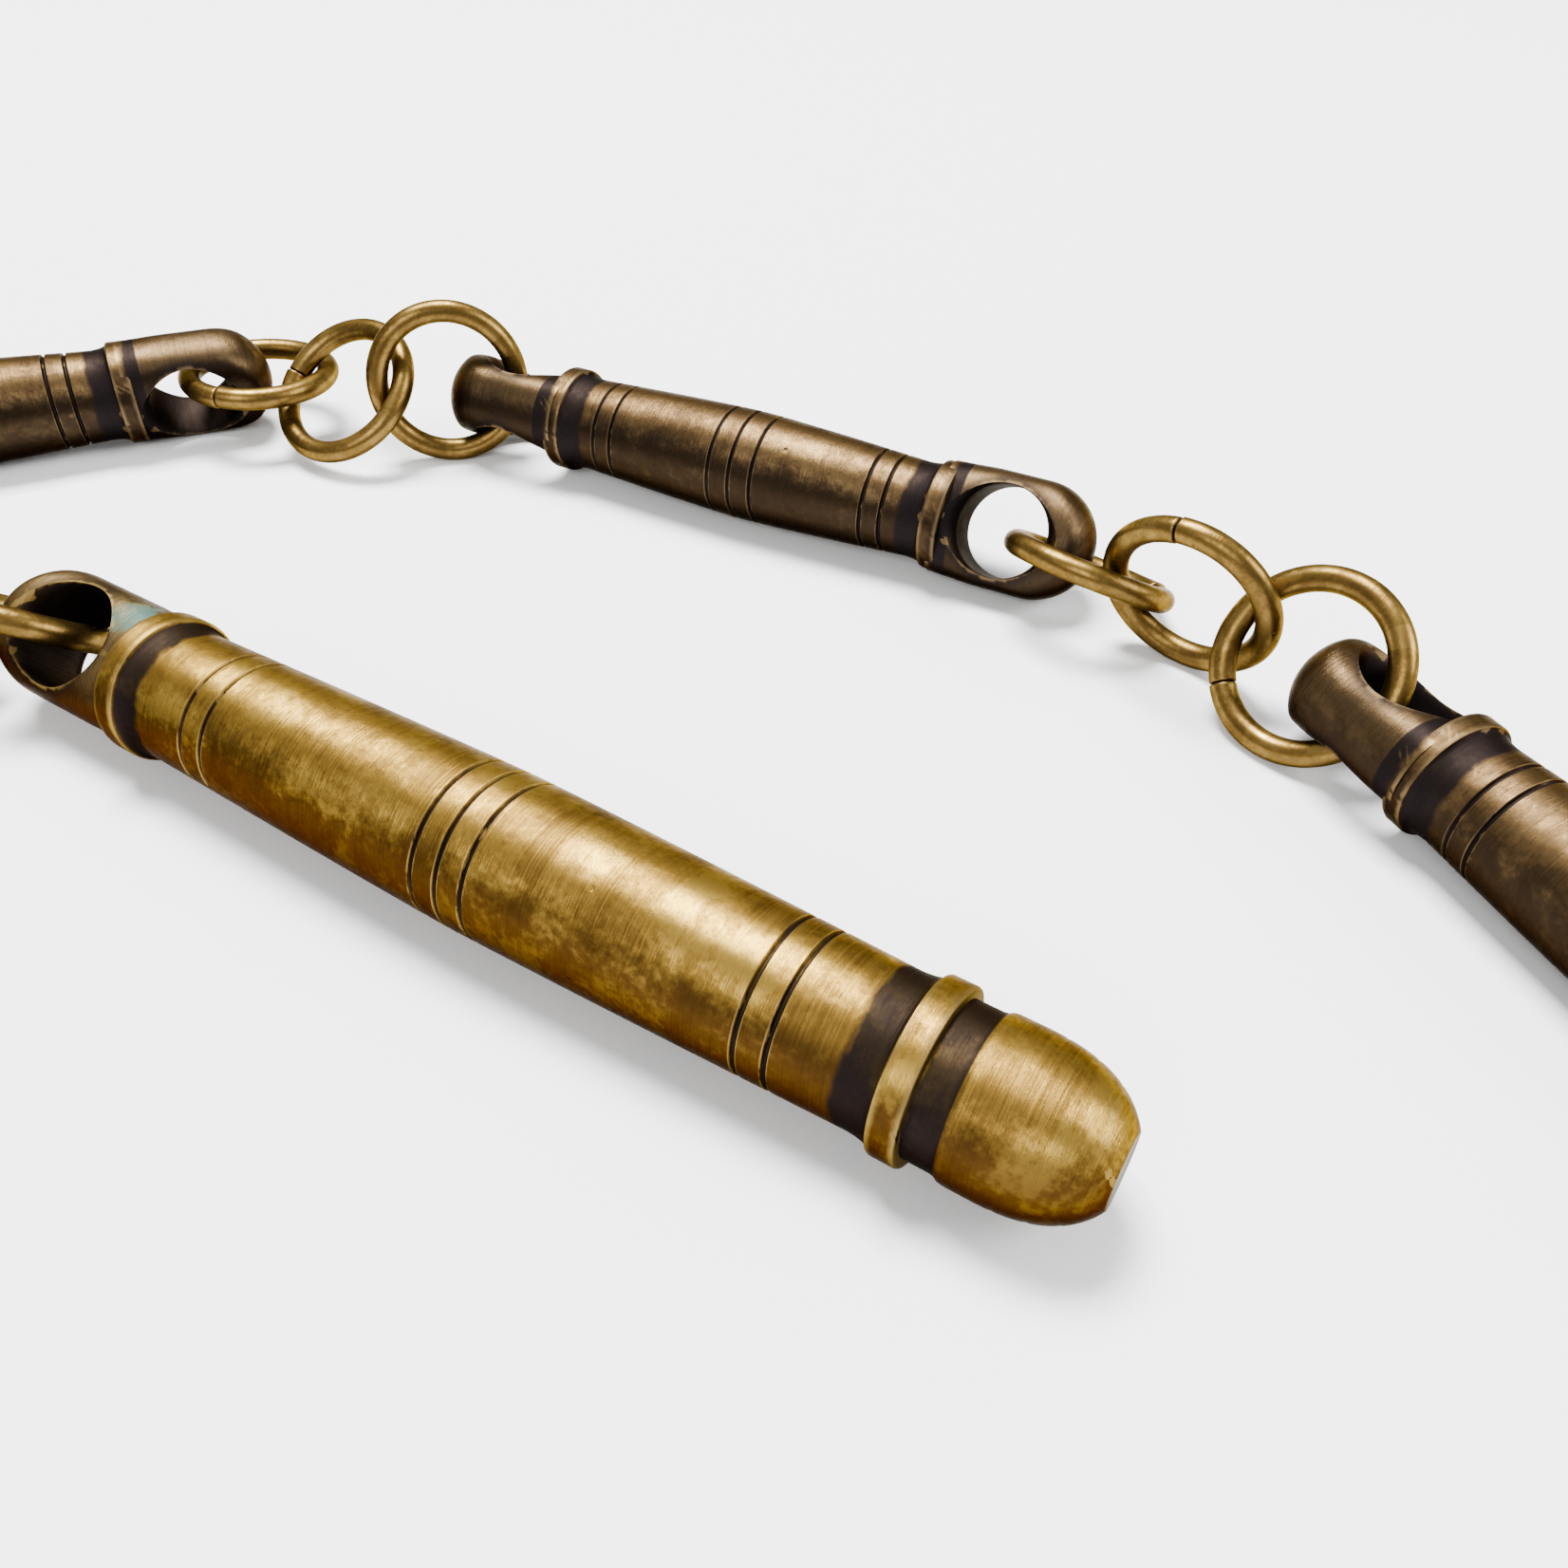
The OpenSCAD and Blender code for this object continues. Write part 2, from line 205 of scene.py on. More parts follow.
# %% Drill the flared hole
def hole_rings(segments=72):
    r, half = HOLE_D / 2, EYE_T / 2
    lip_depth, lip_width = CHAMFER * 1.9, CHAMFER * 1.25
    outline = [(0, r), (half - lip_depth, r)]
    for k in range(1, 9):                       # rounded lip, a quarter of an ellipse
        a = math.pi / 2 * k / 9
        outline.append((half - lip_depth * (1 - math.sin(a)), r + lip_width * (1 - math.cos(a))))
    outline += [(half + 0.25, r + CHAMFER * 1.5), (half + 1.2, r + CHAMFER * 2.6)]
    both = [(-z, q) for z, q in reversed(outline) if z > 0] + outline
    spin = full_turn(segments)
    return [[(q * math.cos(a), q * math.sin(a), z) for a in spin] for z, q in both]


def evaluated_mesh(obj):
    """A new mesh with the object's modifiers applied."""
    bpy.context.view_layer.update()
    return bpy.data.meshes.new_from_object(obj.evaluated_get(bpy.context.evaluated_depsgraph_get()))


def eye_mesh(name, neck_x, eye_x, width):
    end_x = eye_x + HOLE_D / 2 + END_WALL
    blank = link_object(name, skinned_mesh(name, bulb_rings(neck_x, end_x, width)))
    cutter = link_object("cutter", skinned_mesh("cutter", hole_rings()))
    cutter.location.x = eye_x * MM
    cut = blank.modifiers.new("hole", "BOOLEAN")
    cut.object, cut.operation, cut.solver = cutter, "DIFFERENCE", "EXACT"
    mesh = evaluated_mesh(blank)
    bpy.data.objects.remove(blank)
    bpy.data.objects.remove(cutter)
    return mesh


TERM_NECK = 1.4                                 # plain neck between the collar and the eye's hole
INSIDE = 0.5                                    # the bulb starts this far inside the collar
LINK_EYE_W, TERM_EYE_W = 6.2, 6.0
LINK_EYE_X = LINK_RIM + HOLE_D / 2 + CHAMFER
TERM_EYE_X = TERM_RIM + TERM_NECK + HOLE_D / 2 + CHAMFER
link_eye = eye_mesh("link_eye", LINK["half"] + INSIDE, LINK_EYE_X, LINK_EYE_W)
term_eye = eye_mesh("term_eye", TERM["half"] + INSIDE, TERM_EYE_X, TERM_EYE_W)
print("eye meshes:", len(link_eye.polygons), len(term_eye.polygons), "faces")

# %% [markdown]
# ## Whole bars
# The terminal bar has one eye and, at the other end, a narrow dark recess and a dome with a
# small flat on its tip. A link bar has two eyes, a quarter turn apart, so that the rings on
# either side lie crosswise. Each bar is one mesh joined from its turned part and its eyes.

# %% Outline of the recess and the dome
DOME_LEN, DOME_R, DOME_POWER, TIP_R = 6.3, 3.0, 2.7, 1.35
RECESS_LEN, RECESS_R, SHOULDER = 1.25, 2.85, 0.85


def dome_outline():
    tip, step = TERM_RIM + DOME_LEN, TERM_RIM + RECESS_LEN
    start = step + SHOULDER
    sweep = (tip - start) / (1 - (TIP_R / DOME_R) ** 2) ** (1 / DOME_POWER)
    points = [(TERM_RIM - 0.4 + 0.2 * k, RECESS_R) for k in range(8)]
    points += [(step - 0.07, RECESS_R + 0.03), (step + 0.07, DOME_R - 0.03), (step + 0.25, DOME_R)]
    for k in range(0, 49):
        along = (tip - start) * math.sin(math.pi / 2 * k / 48)
        scratch = 0.02 if k in (8, 17, 26) else 0    # faint lines left by the turning tool
        points.append((start + along, DOME_R * math.sqrt(1 - (along / sweep) ** DOME_POWER) - scratch))
    return points + [(tip, TIP_R * q) for q in (0.95, 0.85, 0.7, 0.5, 0.3, 0.02)]


print("dome outline points:", len(dome_outline()))


# %% Join the turned parts and the eyes
def smooth(mesh, degrees=32):
    mesh.shade_smooth()
    mesh.set_sharp_from_angle(angle=math.radians(degrees))


def store(mesh, name, values):
    """Keep one number for each point of a mesh as a float attribute."""
    kept = mesh.attributes.new(name, "FLOAT", "POINT")
    kept.data.foreach_set("value", np.asarray(values, np.float32))


def joined_bar(name, parts, grooves):
    """One mesh from its parts; the attribute "scribed" is 1 in the grooves."""
    bm = bmesh.new()
    for mesh, matrix in parts:
        piece = mesh.copy()
        piece.transform(matrix)
        bm.from_mesh(piece)
        bpy.data.meshes.remove(piece)
    mesh = bpy.data.meshes.new(name)
    bm.to_mesh(mesh)
    bm.free()
    smooth(mesh)
    reach = np.abs(np.array([v.co.x for v in mesh.vertices]) / MM)
    store(mesh, "scribed", np.max([np.exp(-((reach - g) / 0.1) ** 4) for g in grooves], axis=0))
    return mesh


ALONG, FLIP, QUARTER = Matrix.Identity(4), rotation(180, "Z"), rotation(90, "X")
link_body = skinned_mesh("link_body", turned_rings(link_outline))
term_body = skinned_mesh("term_body", turned_rings(term_outline))
term_dome = skinned_mesh("term_dome", turned_rings(dome_outline()))
link_parts = [(link_body, ALONG), (link_eye, FLIP), (link_eye, QUARTER)]
term_parts = [(term_body, ALONG), (term_dome, ALONG), (term_eye, FLIP)]
link_mesh = joined_bar("link_bar", link_parts, LINK_GROOVES)
term_mesh = joined_bar("terminal_bar", term_parts, TERM_GROOVES)
print("faces in a link bar:", len(link_mesh.polygons), "in the terminal bar:", len(term_mesh.polygons))

# %% [markdown]
# ## Laying the bars
# Each fine bar goes exactly where its CAD node lies. A bar is the same on both sides of its own
# axis, so the middle of the node's reach along the bar, across it and up gives its centre. Only
# the heading and the lean of the eye's mouth are stated.

# %% Put each bar on its CAD node
BAR_LAY = {"terminal_bar": (-32, 35), "link_bar_1": (164, 78), "link_bar_2": (23, 18),
           "link_bar_3": (-26, -30), "link_bar_4": (-66, -22)}     # heading and lean, in degrees
TERM_MIDDLE = (TERM_RIM + DOME_LEN - (TERM_EYE_X + HOLE_D / 2 + END_WALL)) / 2


def node_points(node):
    return np.array([v.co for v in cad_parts[node].data.vertices], float)


def bar_matrix(node, heading, lean, middle_x):
    a = math.radians(heading)
    spin = np.array([[math.cos(a), math.sin(a), 0], [-math.sin(a), math.cos(a), 0], [0, 0, 1]])
    local = node_points(node) @ spin.T
    middle = (local.min(0) + local.max(0)) / 2
    middle[0] -= middle_x * MM
    centre = Vector(spin.T @ middle)
    return Matrix.Translation(centre) @ rotation(heading, "Z") @ rotation(lean, "X")


fine = {}
for node, (heading, lean) in BAR_LAY.items():
    end = node == "terminal_bar"
    obj = link_object("fine_" + node, term_mesh if end else link_mesh.copy())
    obj.matrix_world = bar_matrix(node, heading, lean, TERM_MIDDLE if end else 0.0)
    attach(obj, node)
    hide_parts(node)
    fine[node] = obj
print("bars laid:", list(fine))

# %% [markdown]
# Each bar is painted darker and browner on its lower, front side, and left bright on its upper
# back side, which faces the top soft box. This is painted shade. It is stored on the mesh as a
# float attribute, worked out once from how each part of the surface faces at rest.


# %% Store how much painted shade each point gets
def store_painted_shade(obj, lit_side=(0.05, 0.5, 0.86)):
    side = (obj.matrix_world.to_3x3().inverted() @ Vector(lit_side)).normalized()
    facing = np.array([v.normal.dot(side) for v in obj.data.vertices])
    starts, span = 0.68, 0.95                   # no painted shade where a surface faces the lit side this well
    t = np.clip((starts - facing) / span, 0, 1)
    store(obj.data, "painted_shade", t * t * (3 - 2 * t))


bpy.context.view_layer.update()
for name in BAR_LAY:
    store_painted_shade(fine[name])
print("tarnish stored on", len(BAR_LAY), "bars")

# %% [markdown]
# ## The jump rings
# A jump ring is a turn of round wire whose cut ends butt together, so it shows a fine dark seam.
# The tube is swept round with extra stations at the seam, where the wire's ends are
# slightly rounded and slightly out of line. A float attribute marks the seam for the finish.

# %% One jump ring with a butt seam
WIRE_R, RING_R, WIRE_SIDES = 0.625, 4.0, 28
NEAR_SEAM = [0.0, 0.006, 0.014, 0.024, 0.04, 0.07, 0.11]     # stations beside the seam, in radians


def ring_mesh(name, seam, step):
    rest = [2 * math.pi * k / 120 for k in range(3, 118)]
    stations = NEAR_SEAM + rest + [2 * math.pi - a for a in reversed(NEAR_SEAM[1:])]
    rings, marks = [], []
    for a in stations:
        away = min(a, 2 * math.pi - a)
        side = 1 if a < math.pi else -1
        shift = step * math.exp(-away / 0.35) * side * min(1, away / 0.012)     # one end steps aside
        r = WIRE_R - 0.16 * math.exp(-(away / 0.011) ** 2)                      # both are rounded over
        out = Vector((math.cos(a + seam), math.sin(a + seam), 0))
        rings.append([(RING_R + r * math.cos(b)) * out + Vector((0, 0, r * math.sin(b) + shift))
                      for b in full_turn(WIRE_SIDES)])
        marks.append(math.exp(-(away / 0.014) ** 2))
    mesh = skinned_mesh(name, rings, closed=True)
    store(mesh, "seam", np.repeat(marks, WIRE_SIDES))
    mesh.shade_smooth()
    return mesh


print("a ring is", 2 * (RING_R + WIRE_R), "mm across")

# %% Put a ring on each ring node
RING_COUNT = 15
rng = np.random.default_rng(7)
for i in range(1, RING_COUNT + 1):
    node = f"jump_ring_{i}"
    points = node_points(node)
    centre = (points.min(0) + points.max(0)) / 2
    normal = Vector(np.linalg.svd(points - centre, full_matrices=False)[2][2])
    if normal.z < 0:
        normal = -normal
    seam, step = rng.uniform(0, 2 * math.pi), rng.uniform(0.02, 0.06)
    obj = link_object("fine_" + node, ring_mesh(node, seam, step))
    facing = normal.to_track_quat("Z", "Y").to_matrix().to_4x4()
    obj.matrix_world = Matrix.Translation(Vector(centre)) @ facing
    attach(obj, node)
    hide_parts(node)
    bpy.context.view_layer.update()
    # painted shade on the ring's lower, front side, stored as a mask
    store_painted_shade(obj)
    fine[node] = obj
print("pieces laid:", len(fine))

# %% [markdown]
# ## The swivel clasp
# The clasp is cast and filed, so its edges are rounded over. Its CAD shape is right but sharp.
# A copy with a small Bevel, held to edges that are truly sharp, catches the light as a filed
# edge does, and it stays inside the CAD surface.


# %% Filed copies of the clasp's parts
def filed_copy(node, body, width):
    obj = link_object("fine_" + node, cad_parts[node].data.copy())
    bm = bmesh.new()
    bm.from_mesh(obj.data)
    bmesh.ops.remove_doubles(bm, verts=bm.verts, dist=1e-7)
    bmesh.ops.dissolve_limit(bm, angle_limit=math.radians(1), verts=bm.verts, edges=bm.edges)
    bm.to_mesh(obj.data)
    bm.free()
    soften = obj.modifiers.new("filed", "BEVEL")
    soften.width, soften.segments = width * MM, 3
    soften.limit_method, soften.angle_limit = "ANGLE", math.radians(35)
    mesh = evaluated_mesh(obj)
    obj.modifiers.clear()
    obj.data = mesh
    smooth(mesh, 40)
    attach(obj, body)
    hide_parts(node)
    return obj


for node, body, width in (("clasp_hook", "clasp", 0.22), ("clasp_gate", "gate", 0.12)):
    fine[node] = filed_copy(node, body, width)
for node in ("swivel_eye", "gate_pin", "gate_spring"):
    smooth(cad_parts[node].data, 35)
    fine[node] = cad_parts[node]
print("clasp faces:", len(fine["clasp_hook"].data.polygons))

# %% [markdown]
# A fine piece has to fill the same space as the CAD node that it stands for, or a joint would
# turn it into its neighbour. Comparing the two boxes, side by side, shows any slip at once.

# %% Compare each fine piece with its CAD node
bpy.context.view_layer.update()
for name, obj in fine.items():
    world = np.array([obj.matrix_world @ v.co for v in obj.data.vertices])
    cad = node_points(name)
    off = np.concatenate([world.min(0) - cad.min(0), world.max(0) - cad.max(0)]) / MM
    print(f"{name}: box differs by at most {np.abs(off).max():.2f} mm")

# %% [markdown]
# ## Finishes: shared node groups
# Old brass is mottled, brushed round by polishing, pitted and stained dark where polish never
# reaches. Several materials need each of these, so each is a shader node group with named
# inputs, built once. The groups put out only masks, colours and heights. They read the piece's
# own space in millimetres, so the marks have their real scale.


# %% Helpers that add a node and hand back its outputs
def fill(tree, made, inputs):
    """Link or set a node's inputs, each given by its label or number."""
    for key, value in inputs.items():
        if isinstance(value, bpy.types.NodeSocket):
            tree.links.new(value, made.inputs[key])
        else:
            made.inputs[key].default_value = value
    return made.outputs


def add_node(tree, kind, inputs, **settings):
    made = tree.nodes.new(kind)
    for key, value in settings.items():
        setattr(made, key, value)
    return fill(tree, made, inputs)


def place_group(tree, group, inputs):
    made = tree.nodes.new("ShaderNodeGroup")
    made.node_tree = group
    return fill(tree, made, inputs)


print("node helpers ready")


# %% Short names for sums, soft steps, noise and mixed colours
def maths(tree, operation, a, b=0.0):
    return add_node(tree, "ShaderNodeMath", {0: a, 1: b}, operation=operation)[0]


def plus(tree, a, b):
    return maths(tree, "ADD", a, b)


def minus(tree, a, b):
    return maths(tree, "SUBTRACT", a, b)


def times(tree, a, b):
    return maths(tree, "MULTIPLY", a, b)


def most(tree, a, b):
    return maths(tree, "MAXIMUM", a, b)


def smooth_range(tree, value, low, high, to_low=0.0, to_high=1.0):
    ends = {"Value": value, "From Min": low, "From Max": high, "To Min": to_low, "To Max": to_high}
    return add_node(tree, "ShaderNodeMapRange", ends, interpolation_type="SMOOTHSTEP")["Result"]


def noise(tree, vector, scale, detail, **more):
    values = {"Vector": vector, "Scale": scale, "Detail": detail, **more}
    return add_node(tree, "ShaderNodeTexNoise", values)["Fac"]


def mix_colour(tree, factor, a, b):
    return add_node(tree, "ShaderNodeMix", {"Factor": factor, 6: a, 7: b}, data_type="RGBA")[2]


print("arithmetic helpers ready")

# %% Helper that makes a node group
VALUE, VECTOR, COLOUR = "NodeSocketFloat", "NodeSocketVector", "NodeSocketColor"


def new_group(name, inputs, outputs):
    """A group, the sockets that it is given, and the sockets that it puts its results on."""
    group = bpy.data.node_groups.new(name, "ShaderNodeTree")
    for label, kind, value in inputs:
        socket = group.interface.new_socket(label, in_out="INPUT", socket_type=kind)
        if value is not None:
            socket.default_value = value
    for label, kind in outputs:
        group.interface.new_socket(label, in_out="OUTPUT", socket_type=kind)
    return group, group.nodes.new("NodeGroupInput").outputs, group.nodes.new("NodeGroupOutput").inputs


print("group helper ready")

# %% [markdown]
# Mottling has two sizes of noise: broad clouds, and speckles nine times finer. Their sum picks a
# tone between dark, middle and bright, and the contrast says how far the tone may leave the
# middle one.

# %% Group: mottled patina
mottle, given, put = new_group(
    "mottled patina",
    [("Vector", VECTOR, None), ("Patch Size", VALUE, 3.0), ("Contrast", VALUE, 0.5),
     ("Dark", COLOUR, None), ("Middle", COLOUR, None), ("Bright", COLOUR, None)],
    [("Color", COLOUR), ("Mask", VALUE)])
broad = maths(mottle, "DIVIDE", 1.0, given["Patch Size"])
clouds = noise(mottle, given["Vector"], broad, 5.0, Roughness=0.55, Distortion=0.6)
speckles = noise(mottle, given["Vector"], times(mottle, broad, 9.0), 4.0, Roughness=0.6)
mixed = plus(mottle, times(mottle, clouds, 0.7), times(mottle, speckles, 0.3))
level = smooth_range(mottle, mixed, 0.37, 0.63)
lower = mix_colour(mottle, smooth_range(mottle, level, 0.0, 0.5), given["Dark"], given["Middle"])
upper = mix_colour(mottle, smooth_range(mottle, level, 0.5, 1.0), lower, given["Bright"])
mottle.links.new(mix_colour(mottle, given["Contrast"], given["Middle"], upper), put["Color"])
mottle.links.new(level, put["Mask"])
print("group:", mottle.name, len(mottle.nodes), "nodes")

# %% [markdown]
# Polishing a bar on a lathe or between the fingers leaves fine lines round it. Noise squeezed
# along the bar and stretched round it gives them. Pits are the dark centres of scattered cells,
# kept only where a second noise allows, so that they don't look like a pattern.

# %% Group: turning lines
STRETCH = 0.22                                  # below 1, so the noise is drawn out round the bar
lines, given, put = new_group(
    "turning lines", [("Vector", VECTOR, None), ("Fineness", VALUE, 9.0)], [("Height", VALUE)])
axes = add_node(lines, "ShaderNodeSeparateXYZ", {0: given["Vector"]})
squeezed = add_node(lines, "ShaderNodeCombineXYZ", {
    "X": times(lines, axes["X"], given["Fineness"]),
    "Y": times(lines, axes["Y"], STRETCH),
    "Z": times(lines, axes["Z"], STRETCH)})
lines.links.new(noise(lines, squeezed[0], 1.0, 5.0, Roughness=0.7), put["Height"])
print("group:", lines.name)

# %% Group: scattered pits
pits, given, put = new_group(
    "scattered pits", [("Vector", VECTOR, None), ("Spacing", VALUE, 1.6), ("Size", VALUE, 0.12)],
    [("Mask", VALUE)])
density = maths(pits, "DIVIDE", 1.0, given["Spacing"])
lattice = {"Vector": given["Vector"], "Scale": density, "Randomness": 1.0}
cells = add_node(pits, "ShaderNodeTexVoronoi", lattice)
core = times(pits, given["Size"], 0.4)
spot = smooth_range(pits, cells["Distance"], core, given["Size"], 1.0, 0.0)
allowed = smooth_range(pits, noise(pits, given["Vector"], 0.5, 2.0), 0.5, 0.6)
pits.links.new(times(pits, spot, allowed), put["Mask"])
print("group:", pits.name)

# %% [markdown]
# Polish never reaches the hollows beside a collar, so they turn black. The inside of an eye is
# darkened nearly to black as well.
# One group marks a band between two distances along the bar, with a ragged edge on its inner
# side. Another marks the inside of a bore, by the distance from the bore's own axis.

# %% Group: blackened band
band, given, put = new_group(
    "blackened band",
    [("Vector", VECTOR, None), ("From", VALUE, 9.0), ("To", VALUE, 11.0), ("Softness", VALUE, 0.4)],
    [("Mask", VALUE)])
along = add_node(band, "ShaderNodeSeparateXYZ", {0: given["Vector"]})["X"]
ragged = minus(band, noise(band, given["Vector"], 0.8, 4.0), 0.5)
wander = times(band, ragged, times(band, given["Softness"], 2.5))
outset = minus(band, given["From"], given["Softness"])
rise = smooth_range(band, plus(band, along, wander), outset, given["From"])
fall = smooth_range(band, along, given["To"], plus(band, given["To"], 0.06), 1.0, 0.0)
band.links.new(times(band, rise, fall), put["Mask"])
print("group:", band.name)

# %% Group: blackened bore
bore, given, put = new_group(
    "blackened bore", [("Along", VALUE, 0.0), ("Across", VALUE, 0.0), ("Radius", VALUE, 2.4)],
    [("Mask", VALUE)])
along_squared = times(bore, given["Along"], given["Along"])
across_squared = times(bore, given["Across"], given["Across"])
distance = maths(bore, "SQRT", plus(bore, along_squared, across_squared))
near, far = plus(bore, given["Radius"], 0.05), plus(bore, given["Radius"], 0.75)
bore.links.new(smooth_range(bore, distance, near, far, 1.0, 0.0), put["Mask"])
print("group:", bore.name)

# %% [markdown]
# Edges and raised rims are rubbed bright by the waistcoat pocket. The Geometry node's Pointiness
# is a half on flat metal, more on outward edges and less in creases, so one group turns it into
# a wear mask and a grime mask, both broken up with noise.

# %% Group: rubbed edges
EDGE, CREASE = 0.515, 0.485                     # Pointiness at which wear and grime begin
rubbed, given, put = new_group(
    "rubbed edges", [("Vector", VECTOR, None), ("Reach", VALUE, 0.03)],
    [("Edge", VALUE), ("Crease", VALUE)])
pointiness = add_node(rubbed, "ShaderNodeNewGeometry", {})["Pointiness"]
patchy = times(rubbed, minus(rubbed, noise(rubbed, given["Vector"], 1.3, 3.0), 0.5), 0.02)
point = plus(rubbed, pointiness, patchy)
edge = smooth_range(rubbed, point, EDGE, plus(rubbed, EDGE, given["Reach"]))
crease = smooth_range(rubbed, point, minus(rubbed, CREASE, given["Reach"]), CREASE, 1.0, 0.0)
rubbed.links.new(edge, put["Edge"])
rubbed.links.new(crease, put["Crease"])
print("group:", rubbed.name)

# %% [markdown]
# ## What every old metal shares
# Each finish starts as a metal with a dull edge-on shine, because tarnish takes away the bright
# rim that clean metal shows at a glancing angle. Then come the shared groups, with the finish's
# own values, and at the end one bump from the brushed lines, the dents and the pits.

# %% Start and end of a metal material
BLACKENED = (0.009, 0.007, 0.0075, 1)


def new_metal(name, glancing_tint):
    """A material, its tree, the Principled node's inputs, and the piece's space in millimetres."""
    material = bpy.data.materials.new(name)
    material.use_nodes = True
    tree = material.node_tree
    shader = tree.nodes["Principled BSDF"].inputs
    shader["Metallic"].default_value = 1.0
    shader["Specular Tint"].default_value = glancing_tint
    metres = add_node(tree, "ShaderNodeTexCoord", {})["Object"]
    mm = add_node(tree, "ShaderNodeVectorMath", {0: metres, 1: (1000, 1000, 1000)}, operation="MULTIPLY")[0]
    return material, tree, shader, mm


def old_surface(tree, mm, tones, patch, contrast, fineness, spacing, pit_size, reach):
    """The shared groups' results, with one finish's own values."""
    dark, middle, bright = tones
    patina = place_group(tree, mottle, {
        "Vector": mm, "Patch Size": patch, "Contrast": contrast,
        "Dark": dark, "Middle": middle, "Bright": bright})
    brush = place_group(tree, lines, {"Vector": mm, "Fineness": fineness})["Height"]
    pit = place_group(tree, pits, {"Vector": mm, "Spacing": spacing, "Size": pit_size})["Mask"]
    wear = place_group(tree, rubbed, {"Vector": mm, "Reach": reach})
    return patina["Color"], patina["Mask"], brush, pit, wear["Edge"], wear["Crease"]


def stored(tree, name):
    return add_node(tree, "ShaderNodeAttribute", {}, attribute_name=name)["Fac"]


def finish_metal(tree, shader, colour, roughness, height, strength):
    bump = add_node(tree, "ShaderNodeBump", {"Height": height, "Strength": strength, "Distance": 0.001})
    tree.links.new(colour, shader["Base Color"])
    tree.links.new(roughness, shader["Roughness"])
    tree.links.new(bump["Normal"], shader["Normal"])


print("metal helpers ready")

# %% [markdown]
# ## The bar finishes
# The terminal bar is handled most and stays golden; the link bars have gone brown. Both are
# made by one function with their own colours. The colour starts from the mottled patina, then
# takes painted shade on its lower, front side, the grime of creases, the black bands and bores,
# and last the bright rubbed rims. The terminal bar also has a spot of green crust by its eye.


# %% Black places and green crust on a bar
def black_places(tree, mm, axes, bands, eyes):
    """A mask of the bands beside the collars and of the bores of the eyes."""
    black = 0.0
    for start, stop in bands:
        side = 1.0 if stop > start else -1.0
        turned = add_node(tree, "ShaderNodeVectorMath", {0: mm, 1: (side, 1, 1)}, operation="MULTIPLY")[0]
        ends = {"Vector": turned, "From": start * side, "To": stop * side, "Softness": 0.35}
        beside = place_group(tree, band, ends)["Mask"]
        black = most(tree, black, beside)
    for eye_x, across in eyes:
        from_axis = {"Along": minus(tree, axes["X"], eye_x), "Across": axes[across], "Radius": HOLE_D / 2}
        inside = place_group(tree, bore, from_axis)["Mask"]
        black = most(tree, black, times(tree, inside, 0.95))
    return black


def green_crust(tree, mm, place):
    """A mask of a ragged patch round one place."""
    away = add_node(tree, "ShaderNodeVectorMath", {0: mm, 1: place}, operation="DISTANCE")["Value"]
    ragged = minus(tree, noise(tree, mm, 2.2, 5.0, Roughness=0.7), 0.5)
    return smooth_range(tree, plus(tree, away, times(tree, ragged, 3.5)), 0.35, 1.5, 0.85, 0.0)


print("bar masks ready")


# %% Colour of a bar
def bar_colour(tree, mm, axes, tones, eye_tint, painted_shade, half, collar_len, crusted):
    """The tones of a bar with its painted shade, before its dirt, and the marks the rest of the finish
    needs.
    """
    colour, mottled, brush, pit, edge, crease = old_surface(
        tree, mm, tones, patch=2.8, contrast=0.72, fineness=13.0, spacing=1.5, pit_size=0.1, reach=0.03)
    reach = maths(tree, "ABSOLUTE", axes["X"])
    head = smooth_range(tree, reach, half + collar_len * 0.4, half + collar_len + 0.6)
    if crusted:                                 # the dome keeps the barrel's own colour
        head = times(tree, head, smooth_range(tree, axes["X"], -1.0, 1.0, 1.0, 0.0))
    colour = mix_colour(tree, head, colour, eye_tint)
    streak = smooth_range(tree, brush, 0.35, 0.7)
    colour = mix_colour(tree, times(tree, streak, 0.3), colour, tones[2])
    # painted shade: darker and browner on the lower, front side, by the stored mask
    cloudy = times(tree, minus(tree, mottled, 0.5), 0.28)
    shaded_side = smooth_range(tree, minus(tree, stored(tree, "painted_shade"), cloudy), 0.15, 1.0)
    colour = mix_colour(tree, times(tree, shaded_side, 0.93), colour, painted_shade)
    return colour, mottled, brush, pit, edge, crease


print("bar colour ready")


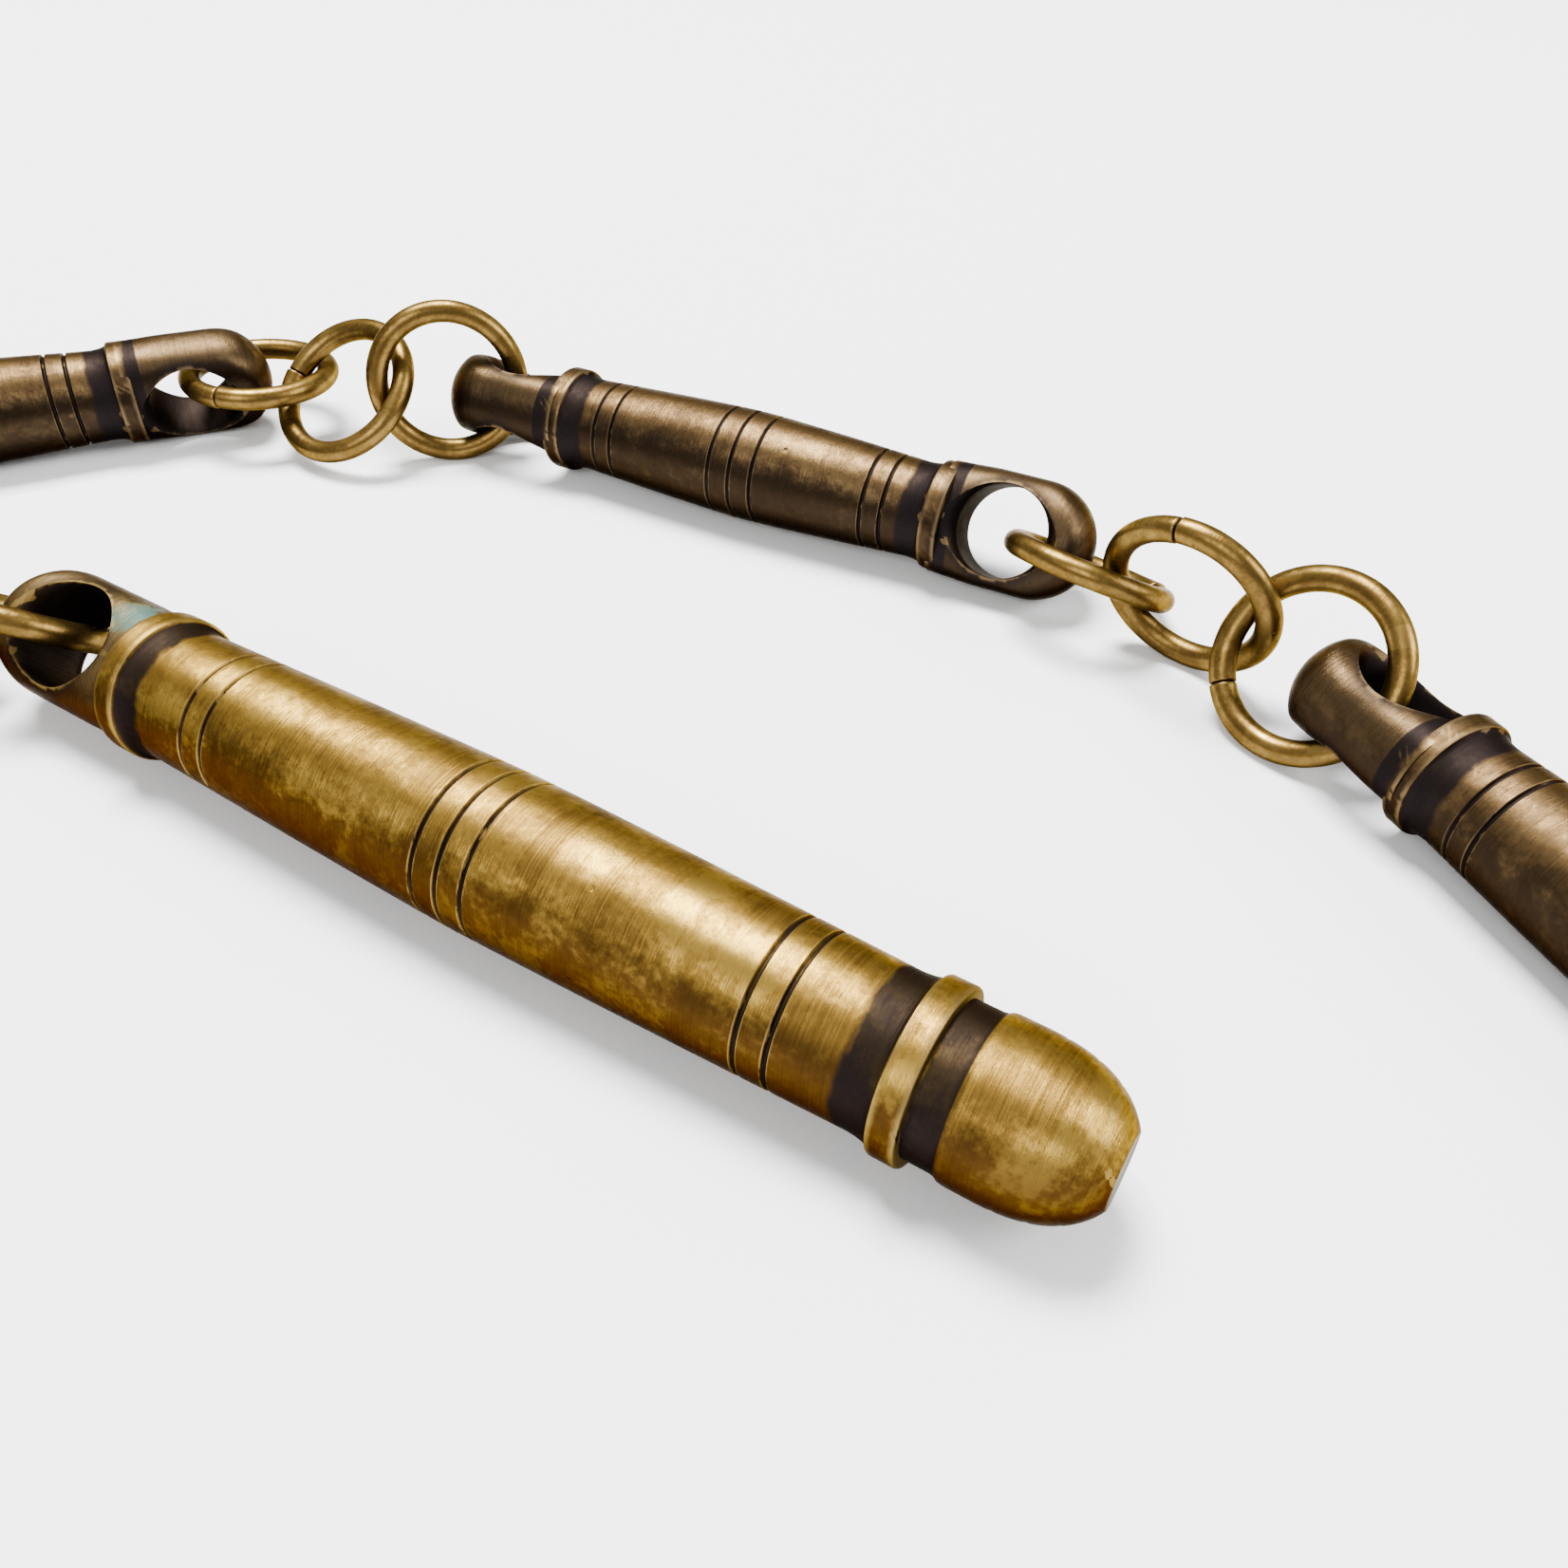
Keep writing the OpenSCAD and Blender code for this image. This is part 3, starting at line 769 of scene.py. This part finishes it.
# %% Material for a bar
def bar_material(name, tones, rim, eye_tint, painted_shade, half, collar_len, bands, eyes, rough, crust_at=None):
    material, tree, shader, mm = new_metal(name, (0.4, 0.38, 0.34, 1))
    axes = add_node(tree, "ShaderNodeSeparateXYZ", {0: mm})
    colour, mottled, brush, pit, edge, crease = bar_colour(
        tree, mm, axes, tones, eye_tint, painted_shade, half, collar_len, crusted=crust_at is not None)
    dirt = most(tree, times(tree, crease, 0.85), black_places(tree, mm, axes, bands, eyes))
    dirt = most(tree, most(tree, dirt, times(tree, pit, 0.75)), stored(tree, "scribed"))
    colour = mix_colour(tree, times(tree, dirt, 0.94), colour, BLACKENED)
    colour = mix_colour(tree, times(tree, edge, 0.4), colour, rim)
    if crust_at is not None:
        tip_x = TERM_RIM + DOME_LEN
        tip = smooth_range(tree, axes["X"], tip_x - 0.03, tip_x - 0.005)
        colour = mix_colour(tree, times(tree, tip, 0.8), colour, eye_tint)
        green = green_crust(tree, mm, crust_at)
        colour = mix_colour(tree, green, colour, (0.02, 0.085, 0.07, 1))
        tree.links.new(minus(tree, 1.0, green), shader["Metallic"])
    dull = plus(tree, times(tree, mottled, -0.12), rough + 0.06)
    dull = plus(tree, dull, times(tree, dirt, 0.16))
    dents = noise(tree, mm, 0.55, 2.0)
    height = plus(tree, times(tree, brush, 0.05), times(tree, dents, 0.12))
    height = minus(tree, height, times(tree, pit, 0.05))
    finish_metal(tree, shader, colour, dull, height, 0.55)
    return material


print("bar material ready")

# %% The golden and the brown bars
TERM_HALF, LINK_HALF = TERM["half"], LINK["half"]
golden = bar_material(
    "golden terminal brass",
    tones=((0.06, 0.031, 0.007, 1), (0.19, 0.108, 0.018, 1), (0.4, 0.25, 0.045, 1)),
    # the last colour on the next line is the tone of the painted shade on the lower, front side
    rim=(0.38, 0.25, 0.07, 1), eye_tint=(0.095, 0.065, 0.037, 1), painted_shade=(0.028, 0.012, 0.003, 1),
    half=TERM_HALF, collar_len=TERM["collar_len"],
    bands=[(TERM_HALF - 1.25, TERM_HALF - 0.04), (TERM_RIM + 0.02, TERM_RIM + RECESS_LEN - 0.03),
           (0.9 - TERM_HALF, 0.04 - TERM_HALF)],
    eyes=[(-TERM_EYE_X, "Y")], rough=0.34, crust_at=(-20.2, 2.2, 2.0))
brown = bar_material(
    "brown link brass",
    tones=((0.026, 0.016, 0.008, 1), (0.075, 0.045, 0.019, 1), (0.14, 0.087, 0.036, 1)),
    # the last colour on the next line is the tone of the painted shade on the lower, front side
    rim=(0.2, 0.132, 0.06, 1), eye_tint=(0.066, 0.042, 0.021, 1), painted_shade=(0.013, 0.0085, 0.0055, 1),
    half=LINK_HALF, collar_len=LINK["collar_len"],
    bands=[(LINK_HALF - 1.15, LINK_HALF - 0.03), (LINK_RIM - 0.01, LINK_RIM + 0.55),
           (1.15 - LINK_HALF, 0.03 - LINK_HALF), (0.01 - LINK_RIM, -0.55 - LINK_RIM)],
    eyes=[(-LINK_EYE_X, "Y"), (LINK_EYE_X, "Z")], rough=0.36)
print("bar materials:", golden.name, "and", brown.name)

# %% [markdown]
# ## Ring, clasp and spring finishes
# The rings rub on each other, so they keep a yellow shine with brown left in patches, and dirt
# sits in their seams; their lower, front side gets painted shade. The clasp is a paler brass.
# The spring is plain steel with fine lines.


# %% Material for wire and filed pieces
def worn_metal(name, tones, patch, rough, seam=False):
    material, tree, shader, mm = new_metal(name, (0.5, 0.46, 0.4, 1))
    colour, mottled, brush, pit, edge, crease = old_surface(
        tree, mm, tones, patch, contrast=0.8, fineness=3.0, spacing=0.9, pit_size=0.12, reach=0.04)
    dark, middle, bright = tones
    colour = mix_colour(tree, times(tree, edge, 0.5), colour, bright)
    dirt = most(tree, times(tree, crease, 0.5), times(tree, pit, 0.6))
    if seam:
        # pieces with seams, the rings, also get painted shade on their lower, front side in their dark tone
        colour = mix_colour(tree, times(tree, stored(tree, "painted_shade"), 0.6), colour, dark)
        dirt = most(tree, dirt, stored(tree, "seam"))
    dull = plus(tree, times(tree, mottled, -0.1), rough + 0.05)
    height = minus(tree, times(tree, brush, 0.04), times(tree, pit, 0.03))
    finish_metal(tree, shader, mix_colour(tree, dirt, colour, BLACKENED), dull, height, 0.5)
    return material


ring_brass = worn_metal(
    "rubbed ring brass", ((0.07, 0.04, 0.011, 1), (0.165, 0.1, 0.024, 1), (0.3, 0.19, 0.05, 1)),
    patch=1.8, rough=0.34, seam=True)
clasp_brass = worn_metal(
    "filed clasp brass", ((0.09, 0.056, 0.02, 1), (0.22, 0.145, 0.05, 1), (0.38, 0.27, 0.1, 1)),
    patch=2.4, rough=0.34)
steel = worn_metal(
    "spring steel", ((0.2, 0.2, 0.21, 1), (0.36, 0.36, 0.38, 1), (0.5, 0.5, 0.52, 1)),
    patch=1.5, rough=0.3)
print("wire materials:", ring_brass.name, clasp_brass.name, steel.name)

# %% Give every piece its finish
FINISHES = {"terminal_bar": golden, "link_bar": brown, "jump_ring": ring_brass, "gate_spring": steel}
for name, obj in fine.items():
    matching = [finish for start, finish in FINISHES.items() if name.startswith(start)]
    obj.data.materials.clear()
    obj.data.materials.append(matching[0] if matching else clasp_brass)
print("pieces finished:", len(fine))

# %% [markdown]
# ## Table and light
# A plain white table fills the view. Metal shows what surrounds it, so the light matters as much
# as the finish: a bright, even surround lights the table, and three soft boxes, one high behind,
# one at the right and one in front, put broad highlights on the bars.

# %% Table
bpy.ops.mesh.primitive_plane_add(size=4, location=(0, 0, 0))
table = bpy.context.object
table.name = "table"
white = bpy.data.materials.new("white table")
white.use_nodes = True
white.node_tree.nodes["Principled BSDF"].inputs["Base Color"].default_value = (0.93, 0.93, 0.93, 1)
white.node_tree.nodes["Principled BSDF"].inputs["Roughness"].default_value = 0.9
table.data.materials.append(white)
print("table size:", tuple(table.dimensions))

# %% Soft boxes and surround
world = bpy.data.worlds.new("studio")
bpy.context.scene.world = world
world.use_nodes = True
world.node_tree.nodes["Background"].inputs["Color"].default_value = (1, 1, 1, 1)
world.node_tree.nodes["Background"].inputs["Strength"].default_value = 0.75


def soft_box(name, place, size, power):
    """A rectangular light, in metres and watts, that faces the middle of the table."""
    data = bpy.data.lights.new(name, "AREA")
    data.shape, data.size, data.size_y, data.energy = "RECTANGLE", size[0], size[1], power
    obj = link_object(name, data)
    obj.location = place
    obj.rotation_euler = (-Vector(place)).to_track_quat("-Z", "Y").to_euler()


soft_box("top_box", (-0.1, 0.2, 0.6), (0.3, 0.22), 17.0)
soft_box("right_box", (0.5, -0.1, 0.35), (0.3, 0.3), 4.0)
soft_box("front_box", (-0.25, -0.5, 0.4), (0.4, 0.3), 3.0)
